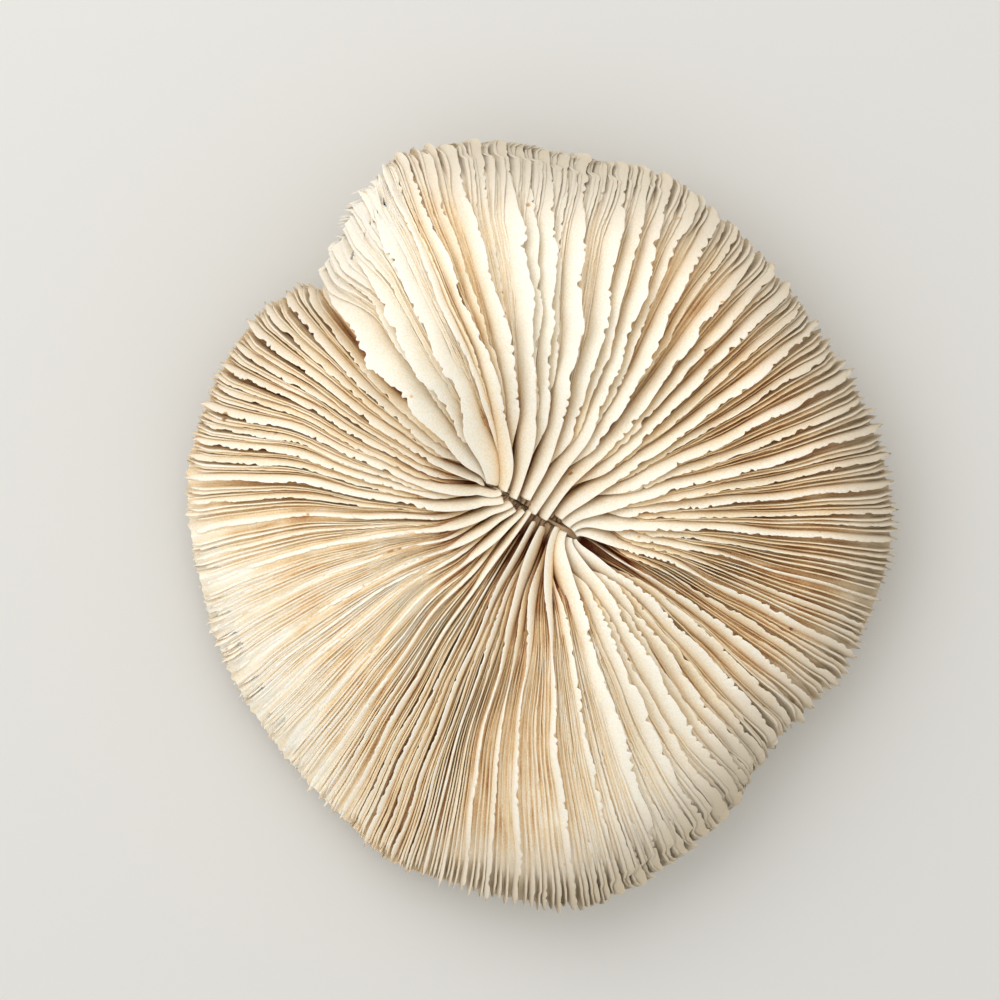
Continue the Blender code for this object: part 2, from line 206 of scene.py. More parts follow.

# Painted shade, with some stain, deepens the colour down the gaps, unevenly in long streaks of stain, and is taken
# off again as painted light on the broad septa, where the gaps are shallow, and near the open rim. The spongy
# matter in the mouth is brown-grey.
PALE_FACES, PALE_PER_FILL, PALE_FROM_FILL, PALE_OUT, LEAST_SHADE_AND_STAIN = 1.6, 0.8, 0.55, (12.0, 26.0), 0.2
PALE_AT_RIM, PALE_AT_RIM_WIDE = 0.7, (6.0, 18.0)
GAP_SHADE_AND_STAIN, GAP_SHADE_AND_STAIN_NEAR_MOUTH, GAP_STREAKS, GAP_STREAKS_LONG = 0.2, 0.55, 0.3, (13.0, 29.0)
GAP_RIDGES_PALE = 0.4
STREAK_LONG, SHADE_AND_STAIN_NEAR_MOUTH, STREAK_OUT = 9.0, 5.0, (8.0, 26.0)
MOUTH_STAIN, MOUTH_GREY, MOUTH_OUT = 0.6, 0.5, (0.5, 4.5)
GREY_WIDE = 16.0

# The ranks of septa. "slots" are a rank's places among the sixteen from one principal septum to the next.
# "thick" is the thickness near the mouth, half-way out and at the rim, "more_in_bands" the share more that it
# has where septa are thick bands, and "share" the height beside a principal septum's half-way out. A septum
# starts where it has this "room" between its neighbours, and has grown to its height after "rise" more. Its
# shade-and-stain value darkens it, as painted shade for the finer ranks that stand lower in the gaps, unevenly by
# "streaks", which are streaks of stain and, near the mouth, more painted shade, "torn" is how much of the teeth it
# has, "past_rim" how far out its tip stands, "flank" lists the levels of points up each side, and "rings" is how
# many cross-sections a blade has.
SLOTS = 16
THICK_OUT, BAND_OUT = (8.0, 37.0, 58.0), (3.0, 16.0)
RANKS = {
    "principal": {
        "slots": (0,), "thick": (0.7, 0.55, 0.9), "more_in_bands": 1.1, "share": 1.0, "room": 0.0, "rise": 5.0,
        "shade_and_stain": 0.0, "streaks": 0.0, "torn": 1.0, "past_rim": 0.0,
        "flank": (0.1, 0.55, 0.75, 0.87, 0.94, 1.0), "rings": 230,
    },
    "second": {
        "slots": (8,), "thick": (0.5, 0.52, 0.86), "more_in_bands": 1.0, "share": 0.98, "room": 0.8, "rise": 14.0,
        "shade_and_stain": 0.0, "streaks": 0.0, "torn": 1.0, "past_rim": -0.1,
        "flank": (0.1, 0.55, 0.75, 0.87, 0.94, 1.0), "rings": 210,
    },
    "third": {
        "slots": (4, 12), "thick": (0.3, 0.46, 0.8), "more_in_bands": 0.5, "share": 0.96, "room": 0.6,
        "rise": 17.0, "shade_and_stain": 0.05, "streaks": 0.04, "torn": 0.8, "past_rim": -0.2,
        "flank": (0.1, 0.65, 0.87, 0.94, 1.0), "rings": 160,
    },
    "fourth": {
        "slots": (2, 6, 10, 14), "thick": (0.2, 0.34, 0.68), "more_in_bands": 0.1, "share": 0.92, "room": 0.42,
        "rise": 13.0, "shade_and_stain": 0.1, "streaks": 0.08, "torn": 0.4, "past_rim": -0.3,
        "flank": (0.1, 0.8, 1.0), "rings": 110,
    },
    "fifth": {
        "slots": (1, 3, 5, 7, 9, 11, 13, 15), "thick": (0.12, 0.28, 0.62), "more_in_bands": 0.0, "share": 0.9,
        "room": 0.32, "rise": 13.0, "shade_and_stain": 0.13, "streaks": 0.1, "torn": 0.25, "past_rim": -0.4,
        "flank": (0.1, 1.0), "rings": 80,
    },
}

# Seeds of the random draws: each blade's, the disc's and that of the waves that all septa share.
BLADE_SEEDS, DISC_SEED, WAVE_SEED = 1000, 11, 7

# Sizes of the materials' patterns.
CLOUDS, SPECKS, GRANULES, WEAR, PORES = 4.0, 3.5, 0.35, 5.0, 0.8
SMOOTH_BELOW_ANGLE = math.radians(50)

# The lights: name, place and width in metres, and power in watts.
LIGHTS = (("window", (-0.2, 0.28, 0.38), 0.6, 1.2), ("bounce", (-0.6, -0.4, 0.5), 0.9, 0.5))
ROOM_STRENGTH = 0.92
TABLE_WIDTH = 4.0

# The photograph's centre lies over this point, and its 1000 pixels span this many millimetres of it.
PHOTO_CENTRE, PHOTO_SPAN = (-5.0, 1.7, 11.0), 1000 / 6.0
CAMERA_AWAY, SENSOR, CLIP_START = 800.0, 36.0, 10.0


class CoralSizes(bpy.types.PropertyGroup):
    """Sizes of the coral's fine relief."""

    tooth_depth: bpy.props.FloatProperty(
        name="Tooth depth", description="How far the deepest notches in a crest go back along its face",
        default=0.9 * MM, min=0.0, max=2 * MM, unit="LENGTH", precision=5,
    )
    tooth_spacing: bpy.props.FloatProperty(
        name="Tooth spacing", description="Distance along a crest from one tooth to the next",
        default=0.7 * MM, min=0.3 * MM, max=5 * MM, unit="LENGTH", precision=5,
    )
    wave: bpy.props.FloatProperty(
        name="Wave", description="How far the crests swing from side to side along their course",
        default=0.1 * MM, min=0.0, max=2 * MM, unit="LENGTH", precision=5,
    )
    wave_length: bpy.props.FloatProperty(
        name="Wave length", description="Distance out from one swing of a crest to the next",
        default=17 * MM, min=2 * MM, max=60 * MM, unit="LENGTH", precision=5,
    )
    spine: bpy.props.FloatProperty(
        name="Underside spine", description="Height of the blunt spines on the ribs of the underside",
        default=0.5 * MM, min=0.0, max=2 * MM, unit="LENGTH", precision=5,
    )


def linear(hex_colour):
    """The linear colour, with alpha, of an sRGB hex value."""
    channels = [int(hex_colour[k : k + 2], 16) / 255 for k in (0, 2, 4)]
    return tuple(c / 12.92 if c <= 0.04045 else ((c + 0.055) / 1.055) ** 2.4 for c in channels) + (1.0,)


def colour_property(name, description, hex_colour):
    return bpy.props.FloatVectorProperty(
        name=name, description=description, default=linear(hex_colour), size=4, subtype="COLOR", min=0, max=1
    )


class CoralColours(bpy.types.PropertyGroup):
    """Colours of the coral and of the stage."""

    crest: colour_property("Crest", "Bleached edge of the septa", "FFF8EB")
    flank: colour_property("Flank", "Faces of the septa", "FCEED8")
    # amber, tan and deep are painted shade down the gaps, warmed as a painted glow of light through the thin blades,
    # with some stain besides.
    amber: colour_property("Amber", "Stain half-way down the gaps", "F1D9B2")
    tan: colour_property("Tan", "Stain low in the gaps", "CCA070")
    deep: colour_property("Deep gap", "Stain at the foot of the gaps", "84401E")
    # tip is painted shade on the rim where it faces away from the light, and also the mouth's own brown-grey.
    tip: colour_property("Tips", "Weathered grey of the rim's tips", "BFB29C")
    under: colour_property("Underside", "Ribs and scar of the underside", "DCCDB2")
    table: colour_property("Table", "Matt table top", "D8D7D4")
    room: colour_property("Room", "Light of the room from all sides", "F4F3EF")


def smooth_step(low, high, x):
    """0 below low, 1 above high, and an S-shaped rise between."""
    t = np.clip((x - low) / (high - low), 0.0, 1.0)
    return t * t * (3.0 - 2.0 * t)


def curve(x, stations, values):
    """A value given at each station, read anywhere between them along a line with rounded bends."""
    return sum(np.interp(x + shift, stations, values) for shift in BEND_SHIFTS) / len(BEND_SHIFTS)


def blend(ends, share):
    """A value that goes from the first end to the second with a share from 0 to 1."""
    return ends[0] + (ends[1] - ends[0]) * share


def round_the_mouth(values, place):
    """A quantity given at each principal septum, read at any places round the ring, by a closed smooth curve."""
    step = np.floor(place).astype(int)
    f = place - step
    a, b, c, d = (values[(step + k) % COUNT] for k in (-1, 0, 1, 2))
    return b + 0.5 * f * (c - a + f * (2 * a - 5 * b + 4 * c - d + f * (3 * (b - c) + d - a)))


def folded(values, place):
    """Like round_the_mouth, but with a sudden change beside the lobe's fold."""
    fold = math.floor(FOLD_PLACE)
    beside = values[fold] + (values[fold + 1] - values[fold]) * smooth_step(FOLD_FROM, FOLD_TO, place)
    return np.where(np.floor(place) == fold, beside, round_the_mouth(values, place))


def crest_bearing(place, out):
    """The bearing, in radians, of crests at these places and distances out, with rounded bends."""
    shares = np.eye(len(OUT_STATIONS))
    found = TURN_PER_SEPTUM * place
    for station, share in enumerate(shares):
        found = found + curve(out, OUT_STATIONS, share) * round_the_mouth(STRAYS[station], place)
    found = found + round_the_mouth(SLIT_TURNS, place) * smooth_step(*SLIT_TURN_OUT, out)
    return np.radians(found)


def crest_plan(place, out):
    """Where crests run in plan, as an array with x and y last."""
    angle = crest_bearing(place, out)
    along = np.hypot(out, MOUTH_HALF_LENGTH) * np.cos(angle)
    across = out * np.sin(angle)
    turn_cos, turn_sin = math.cos(MOUTH_TURN), math.sin(MOUTH_TURN)
    return np.stack((along * turn_cos - across * turn_sin, along * turn_sin + across * turn_cos), axis=-1)


def sideways(place, out):
    """Unit vectors in plan across the course of a septum, counterclockwise."""
    out = np.maximum(out, COURSE_OUT)
    ahead = crest_plan(place, out + COURSE_STEP) - crest_plan(place, out - COURSE_STEP)
    across = np.stack((-ahead[..., 1], ahead[..., 0]), axis=-1)
    return across / np.linalg.norm(across, axis=-1, keepdims=True)


def narrowness(place):
    """1 where the septa are narrow and alike, and 0 where they are broad with low fine ones between them."""
    return np.clip(2 * folded(FINE_SHARES, place) - 1, 0.0, 1.0)


def lean_at(place, out):
    """How far a septum leans over sideways, and how far its top hooks over besides."""
    near, far = round_the_mouth(LEANS_NEAR, place), folded(LEANS_FAR, place)
    lean = near + (far - near) * curve(out, LEAN_OUT, (0.0, 1.0))
    hook = curve(out, HOOK_OUT, HOOK_AT_LEAST) * lean / np.hypot(lean, HOOK_SOFTENING) + HOOK_PER_LEAN * lean
    hook = hook * (1 - (1 - HOOK_OF_BANDS) * banded(place) * smooth_step(*BAND_OUT, out))
    tips = narrowness(place) * smooth_step(*TIPS_STRAIGHTENED_FROM_RIM, out - disc_rim_at(place))
    fade = curve(out, LEAN_FADE_OUT, LEAN_FADE) * (1 - TIPS_STRAIGHTENED * tips)
    return lean * LEAN_SHARE * fade, hook * fade


def reach_at(place):
    """How far out the rim of the blades lies, with the notch beside the fold."""
    notch = np.exp(-(((place - FOLD_PLACE) / FOLD_NOTCH_HALF_WIDTH) ** 2))
    return round_the_mouth(REACHES, place) - FOLD_NOTCH * notch


def ground_at(place, out):
    """Height of the disc's upper face."""
    lift = folded(LIFTS, place) * smooth_step(*LIFT_OUT, out)
    height = curve(out, GROUND_OUT, GROUND_HEIGHT) + lift
    return height - round_the_mouth(DROOPS, place) * smooth_step(*DROOP_OUT, out)


def fill_at(place, out):
    """How far up the blades the gaps between them are closed, as a share of a principal septum's height."""
    fill = round_the_mouth(FILLS, place)
    low, high = (blend(ends, density(place)) for ends in zip(FILL_OUT, FILL_OUT_OF_DENSE))
    near = FILL_NEAR_MOUTH * smooth_step(*FILL_FROM_MOUTH, out)
    fill = near + (fill - FILL_NEAR_MOUTH) * smooth_step(low, high, out)
    past_rim = out - disc_rim_at(place)
    more = (1 - narrowness(place)) * smooth_step(*FILL_OF_BROAD_FROM_RIM, past_rim)
    fill = fill + more * np.maximum(FILL_OF_BROAD_AT_RIM - fill, 0.0)
    low, high = (blend(ends, felted(place)) for ends in FILL_ENDS_FROM_RIM)
    return fill * (1 - smooth_step(low, high, past_rim))


def bend_power(hook):
    """How suddenly the top bends over: a narrow hook bends at the very top, and a wide one lower down."""
    return np.interp(np.abs(hook), HOOK_WIDTHS, HOOK_POWERS)


def disc_rim_at(place):
    return reach_at(place) - short_of_tips(place)


def density(place):
    """1 where the gaps are filled up nearly to the crests, and 0 where they are deep."""
    return np.interp(round_the_mouth(FILLS, place), DENSE_FILLS, (0.0, 1.0))


def felted(place):
    """1 where the rim is white and as dense as felt, and 0 where its tips stand apart."""
    return np.interp(folded(RIM_GREYS, place), FELTED_GREYS, (1.0, 0.0))


def short_of_tips(place):
    """How far the septa stand out past the disc: less where the rim is felted."""
    return blend(DISC_SHORT_OF_TIPS, felted(place))


def underside_at(place, out):
    """Height of the disc's lower face: flat across the scar, then bowed up to the rim."""
    rim = disc_rim_at(place)
    share = np.clip((out - SCAR_RADIUS) / (rim - SCAR_RADIUS), 0.0, 1.0)
    return (ground_at(place, rim) - RIM_THICKNESS) * share**UNDER_BOW


def banded(place):
    """1 where the septa are thick rounded bands, side by side, and 0 where they are leaves."""
    return felted(place) * density(place) * narrowness(place)


def thickness_at(rank_name, place, out):
    more = RANKS[rank_name]["more_in_bands"] * banded(place) * smooth_step(*BAND_OUT, out)
    return np.interp(out, THICK_OUT, RANKS[rank_name]["thick"]) * (1 + more)


def blade_place(number, out):
    """Where blade number runs round the ring: the finer ones share the free room between the two thick ones."""
    unit, slot = divmod(number, SLOTS)
    half, step = divmod(slot, SLOTS // 2)
    if step == 0:
        return unit + 0.5 * half + 0.0 * out
    wide = np.hypot(out, MOUTH_HALF_LENGTH)
    round_all = math.pi * (3 * (wide + out) - np.sqrt((3 * wide + out) * (wide + 3 * out)))
    room = round_all / (2 * COUNT)
    sides = ("principal", "second") if half == 0 else ("second", "principal")
    ends = (unit + 0.5 * half, unit + 0.5 * half + 0.5)
    left, right = (thickness_at(name, np.array(end), out) / 2 for name, end in zip(sides, ends))
    share = (left + (room - left - right) * step / (SLOTS // 2)) / room
    return unit + 0.5 * (half + np.clip(share, 0.05, 0.95))


def foot_plan(place, out):
    """Where the feet of septa stand in plan."""
    return crest_plan(place, out) - sideways(place, out) * sum(lean_at(place, out))[:, None]


def start_of(number, rank):
    """How far out a septum starts: where the feet on both sides of it leave it room."""
    away = 0.5 / len(rank["slots"])
    left, right = (foot_plan(number / SLOTS + side, START_OUTS) for side in (away, -away))
    return float(START_OUTS[np.argmax(np.linalg.norm(left - right, axis=1) > rank["room"])])


def ragged(chance, along, spacing):
    """Straight-sided ups and downs between -1 and 1, about one for each spacing."""
    knots = np.arange(along[0] - spacing, along[-1] + 2 * spacing, spacing)
    knots += chance.uniform(-KNOT_STRAY, KNOT_STRAY, knots.size) * spacing
    return np.interp(along, knots, chance.uniform(-1, 1, knots.size))


def torn(chance, along, spacing):
    """Steps between -1 and 1, as along a torn edge, each from half to twice the spacing long."""
    most = int((along[-1] - along[0]) / spacing * 2) + 2
    knots = along[0] + np.cumsum(chance.uniform(*STEP_LENGTHS, most) * spacing)
    return chance.uniform(-1, 1, knots.size + 1)[np.searchsorted(knots, along)]


def near_rim(place, out, wide):
    """0 further in than this width of the rim, and 1 just past the disc's edge."""
    return smooth_step(-wide, 1.0, out - disc_rim_at(place))


def shade_and_stain_left(place, out):
    """What share of the painted shade and stain is left: painted light takes it off on the broad septa, where the
    gaps are shallow, and near the open rim.
    """
    shallow = np.maximum(round_the_mouth(FILLS, place) - PALE_FROM_FILL, 0.0)
    pale = PALE_FACES * folded(1 - FINE_SHARES, place) + PALE_PER_FILL * shallow
    left = np.maximum(1 - pale * smooth_step(*PALE_OUT, out), LEAST_SHADE_AND_STAIN)
    return left * (1 - PALE_AT_RIM * near_rim(place, out, blend(PALE_AT_RIM_WIDE, density(place))))


def rolling(chance, along, spacing):
    """Soft ups and downs between -1 and 1."""
    return sum(np.sin(math.tau * (along / (spacing * f) + chance.random())) for f in (1.0, 1.7, 2.9)) / 3


def cross_section(levels):
    """Round a blade, from the foot up one flank, over the crest and down the other: the number of each point's
    level, counted from the foot, and the side it lies on."""
    up = list(range(1, levels + 1))
    return np.array([0, *up, levels + 1, *reversed(up)]), np.array([0] + [-1] * levels + [0] + [1] * levels)


def tooth_depths(chance, out, rank, sizes):
    """How far back the crest is torn, in millimetres: here and there a notch, and smooth near the mouth."""
    spacing = sizes.tooth_spacing / MM
    notches = np.maximum(ragged(chance, out, NOTCH_SPACING * spacing), 0.0)
    worn = WORN_AT_POINTS * chance.uniform(0, 1, out.size) + WORN_IN_STEPS * torn(chance, out, WORN_SPACING * spacing)
    patches = np.clip(TEETH_MEAN + TEETH_SWING * rolling(chance, out, TEETH_PATCH), FEWEST_TEETH, 1.0)
    return (notches + worn) * patches * smooth_step(*TEETH_OUT, out) * rank["torn"] * sizes.tooth_depth / MM


def cut_teeth(points, levels, depths):
    """Moves the points of the crest back along the blade's two faces."""
    crest, below = [levels, levels + 2], [levels - 1, levels + 3]
    face = points[:, below] - points[:, crest]
    share = np.clip(depths[:, None] / np.linalg.norm(face, axis=2), -0.3, 0.9)
    move = face * share[..., None]
    points[:, crest] += move
    points[:, levels + 1] += move.mean(axis=1)


def blade_ends(chance, number, rank_name, broad):
    """How far out a blade starts and ends, with its strays drawn in this order: the tip's, then the start's."""
    rank = RANKS[rank_name]
    place = blade_place(number, np.array(RIM_OUT))
    tip = float(reach_at(place)) + rank["past_rim"] - TIPS_PULLED_IN + chance.uniform(*TIP_STRAY) * (1 - broad)
    if rank_name in FINE_RANKS:
        tip -= FINE_SHORT_OF_BROAD * broad
    starts = start_of(number, rank) + chance.uniform(*START_STRAY)
    if not rank["room"]:
        starts = STARTS[number // SLOTS] + chance.uniform(*PRINCIPAL_START_STRAY)
    return starts, tip


def crest_height(chance, number, rank_name, place, out, starts, rim, broad):
    """How tall a blade stands on the ground along its course, before its tip is rounded."""
    rank = RANKS[rank_name]
    tallest = curve(out, BLADE_OUT, BLADE_HEIGHT)
    fine = 1.0
    if rank_name in FINE_RANKS:
        hook = lean_at(place, out)[1]
        turned = hook / np.hypot(hook, BEHIND_SOFTENING)
        sides = (0.0, np.maximum(0, -turned), BEHIND_MIDWAY * np.abs(turned), np.maximum(0, turned))
        fine = folded(FINE_SHARES, place) - BEHIND_A_CREST * sides[number % len(sides)]
    even = fine + np.maximum(FINE_SHARE_AT_RIM - fine, 0.0) * smooth_step(*FINE_SHARE_FROM_RIM, out - rim)
    share = rank["share"] * fine
    share = share + (SHARE_AT_RIM * even - share) * smooth_step(*SHARE_OUT, out)
    grown = 1.0
    if rank["room"] or starts > BLUNT_START:
        grown = GROWN_AT_START + (1 - GROWN_AT_START) * smooth_step(starts, starts + rank["rise"], out)
    uneven = CREST_UNEVEN + CREST_UNEVEN_OF_BROAD * broad
    height = tallest * share * grown * (1 + uneven * (chance.uniform(-1, 0.5) + rolling(chance, out, CREST_ROLL)))
    if rank_name == "third":
        less = BROAD_THIRD_SEPTA * min(1.0, THIRD_PER_BROAD * broad) * chance.random()
        height *= 1 - less * smooth_step(*BROAD_THIRD_FROM_RIM, out - rim)
    height *= np.sqrt(np.clip((out - starts + 0.1) / START_ROUNDING, 0.0, 1.0))
    if rank_name in FINE_RANKS:
        least = fill_at(place, out) * tallest + FINE_ABOVE_FILL[0] + FINE_ABOVE_FILL[1] * chance.random()
        height = np.maximum(height, least)
    return height


def blade_points(number, rank_name, sizes):
    """One blade as cross-sections by points by xyz, in millimetres, and how deep in the gap each point lies."""
    rank = RANKS[rank_name]
    chance = np.random.default_rng(BLADE_SEEDS + number)
    place_at_rim = blade_place(number, np.array(RIM_OUT))
    rim = float(disc_rim_at(place_at_rim))
    broad = 1 - float(folded(FINE_SHARES, place_at_rim))
    dense = float(density(place_at_rim))
    starts, tip = blade_ends(chance, number, rank_name, broad)
    along = np.linspace(0.0, 1.0, rank["rings"] - 1)
    out = np.interp(along, RING_SHARES, [starts + step for step in RINGS_FROM_START] + [tip])
    place = blade_place(number, out)
    ground = ground_at(place, np.minimum(out, rim))
    tallest = curve(out, BLADE_OUT, BLADE_HEIGHT)
    lean, hook = lean_at(place, out)

    # The crest rises from the inner end, and rounds down to the tip.
    height = crest_height(chance, number, rank_name, place, out, starts, rim, broad)
    rounding = TIP_ROUNDING * (1 - broad) ** 2 * blend((1.0, TIP_ROUNDING_OF_DENSE), dense)
    past = np.clip((out - (tip - rounding)) / rounding, 0.0, 1.0)
    tip_height = float(tallest[-1]) * (TIP_SHARE + TIP_SHARE_OF_BROAD * broad + TIP_SHARE_OF_DENSE * dense)
    height = tip_height + (height - tip_height) * np.sqrt(1 - past**2)

    # The foot is sunk in the disc, and past the disc it is the free lower edge, which rises to the tip.
    free = np.clip((out - rim) / (tip - rim), 0.0, 1.0)
    low_edge = underside_at(place, rim) - LOW_EDGE
    tip_foot = ground + tip_height - (tip_height + BELOW_GROUND_AT_TIP) * min(1.0, LOW_TIP_PER_BROAD * broad)
    foot = np.where(out < rim, ground - FOOT_IN_DISC, low_edge + (tip_foot - low_edge) * free**LOW_EDGE_BOW)

    # The thickness: thinned at both ends, and to a sharp crest away from the mouth.
    thick = thickness_at(rank_name, place, out) * (1 + THICK_UNEVEN * rolling(chance, out, THICK_ROLL))
    thick *= np.sqrt(np.clip((out - starts + 0.05) / START_TAPER, THINNEST, 1.0))
    taper = TIP_TAPER * blend((1.0, TIP_TAPER_OF_BROAD), broad)
    thick *= np.clip((tip - out) / taper, THINNEST, 1.0) ** TIP_TAPER_POWER
    sharp = CREST_SHARES if rank["torn"] > TORN_RANKS_FROM else CREST_SHARES[:1] * 2
    crest_share = np.interp(out, CREST_OUT, sharp)
    levels = np.array((0.0, *rank["flank"]))
    crest_round = CREST_ROUNDING * thick * crest_share
    flank_height = np.maximum(ground + height - foot - crest_round, 0.05)
    z = foot[:, None] + flank_height[:, None] * levels
    z = np.column_stack((z, z[:, -1] + crest_round))

    # The lean, the hook and the waves grow with height above the ground, alike for neighbours, so that none cross.
    high = np.clip((z - ground[:, None]) / tallest[:, None], 0.0, 1.3)
    own_top = (height / tallest)[:, None]
    hooked = own_top**HOOK_OF_LOW_SEPTA * np.clip(high / own_top, 0.0, 1.1) ** bend_power(hook)[:, None]
    phases = np.random.default_rng(WAVE_SEED).uniform(0, SHARED_WAVE_SPREAD, COUNT)
    swing = math.tau * (out / (sizes.wave_length / MM) + round_the_mouth(phases, place))
    wave = np.sin(swing) * sizes.wave / MM * smooth_step(*SHARED_WAVE_OUT, out)
    long_wave = rolling(chance, out, OWN_WAVE) * smooth_step(*OWN_WAVE_OUT, out)
    short_wave = rolling(chance, out, SHORT_WAVE) * smooth_step(*SHORT_WAVE_OUT, out)
    own = (OWN_WAVE_SIZE + OWN_WAVE_OF_BROAD * broad) * long_wave + SHORT_WAVE_OF_BROAD * broad * short_wave
    wave = wave + own * rank["torn"]
    aside = lean[:, None] * (high - 1.0) + hook[:, None] * (hooked - 1.0) + wave[:, None] * high

    # Its two faces stand off at right angles from that middle sheet.
    level, side = cross_section(len(rank["flank"]))
    up, over = np.gradient(z, axis=1), np.gradient(aside, axis=1)
    steepness = np.hypot(up, over)
    narrowed = 1 - (1 - crest_share[:, None]) * levels**FLANK_POWER
    off = side * np.column_stack((narrowed * thick[:, None] / 2, 0 * out))[:, level]
    across = aside[:, level] + off * (up / steepness)[:, level]
    z = z[:, level] - off * (over / steepness)[:, level]
    plan = crest_plan(place, out)[:, None, :] + sideways(place, out)[:, None, :] * across[..., None]

    # Painted shade and stain: how deep in the gap a point seems to lie, darker the deeper, with random streaks of
    # stain and more painted shade near the mouth; and how much painted shade greys it at the rim.
    streak_and_shade = chance.uniform(-1, 1) + rolling(chance, out, STREAK_LONG)
    streak_and_shade = rank["streaks"] * (streak_and_shade + SHADE_AND_STAIN_NEAR_MOUTH * (1 - smooth_step(*STREAK_OUT, out)))
    depth = np.clip(1 + rank["shade_and_stain"] + streak_and_shade[:, None] - high[:, level], 0.0, 1.0)
    depth *= shade_and_stain_left(place, out)[:, None]
    grey = (folded(RIM_GREYS, place) * near_rim(place, out, GREY_WIDE))[:, None] + 0 * depth

    # The tip's own edge is torn as well, along its course.
    at_tip = smooth_step(*(tip - short for short in TIP_TEAR_LONG), out)[:, None]
    torn_tip = chance.uniform(-1, 1, z.shape) * at_tip * TIP_TEAR * (1 - min(1.0, 2 * broad))
    heading = sideways(place, out)[:, None, ::-1] * np.array([1.0, -1.0])
    plan = plan + heading * torn_tip[..., None]
    points = np.concatenate((plan, z[..., None]), axis=2)
    cut_teeth(points, len(rank["flank"]), tooth_depths(chance, out, rank, sizes))
    return points, {"depth": depth, "grey": grey}


def only(*objects):
    """Selects these objects and nothing else, the first one active."""
    bpy.ops.object.select_all(action="DESELECT")
    for obj in objects:
        obj.select_set(True)
    bpy.context.view_layer.objects.active = objects[0]


def ball(columns, rings):
    """A ball lying on its side, poles at its -X and +X ends, and each vertex's ring and column."""
    bpy.ops.object.select_all(action="DESELECT")
    bpy.ops.mesh.primitive_uv_sphere_add(segments=columns, ring_count=rings, radius=1.0)
    obj = bpy.context.object
    where = np.empty(len(obj.data.vertices) * 3, np.float32)
    obj.data.vertices.foreach_get("co", where)
    x, y, z = where.reshape(-1, 3).T
    ring = np.round(np.arccos(np.clip(z, -1, 1)) / math.pi * rings).astype(int)
    column = np.round((np.arctan2(y, x) / math.tau - 0.25) * columns).astype(int) % columns
    return obj, ring, column


def shape(mesh, points, shade_and_stains):
    """Moves every vertex to its point, given in millimetres, and stores its painted shade and stain values."""
    mesh.vertices.foreach_set("co", (points * MM).astype(np.float32).ravel())
    for name, values in shade_and_stains.items():
        mesh.attributes.new(name, "FLOAT", "POINT").data.foreach_set("value", values.astype(np.float32))
    mesh.update()


def spread(rows, ring, column, rings):
    """Values by cross-section and column, given to a ball's vertices. The poles take their end section's mean."""
    inner = rows[np.clip(ring - 1, 0, rings - 2), column]
    first, last = rows[0].mean(axis=0), rows[-1].mean(axis=0)
    ends = ring if rows.ndim == 2 else ring[:, None]
    return np.where(ends == 0, first, np.where(ends == rings, last, inner))


def finish_piece(obj, name, material):
    """Names a piece, turns its faces outwards, shades it and ties it to the frame."""
    obj.name = name
    obj.data.name = name
    only(obj)
    bpy.ops.object.mode_set(mode="EDIT")
    bpy.ops.mesh.select_all(action="SELECT")
    bpy.ops.mesh.normals_make_consistent(inside=False)
    bpy.ops.object.mode_set(mode="OBJECT")
    bpy.ops.object.shade_smooth_by_angle(angle=SMOOTH_BELOW_ANGLE)
    obj.data.materials.clear()
    obj.data.materials.append(material)
    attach(obj, BODY)
    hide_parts(NODE)


def add_node(tree, kind, settings=None, links=None):
    """Adds a node. Settings are its properties or unlinked inputs, and links join its inputs to outputs."""
    node = tree.nodes.new(kind)
    for key, value in (settings or {}).items():
        if isinstance(key, int) or key in node.inputs:
            node.inputs[key].default_value = value
        else:
            setattr(node, key, value)
    for key, output in (links or {}).items():
        tree.links.new(output, node.inputs[key])
    return node


def new_material(name):
    material = bpy.data.materials.new(name)
    material.use_nodes = True
    return material, material.node_tree, material.node_tree.nodes["Principled BSDF"]


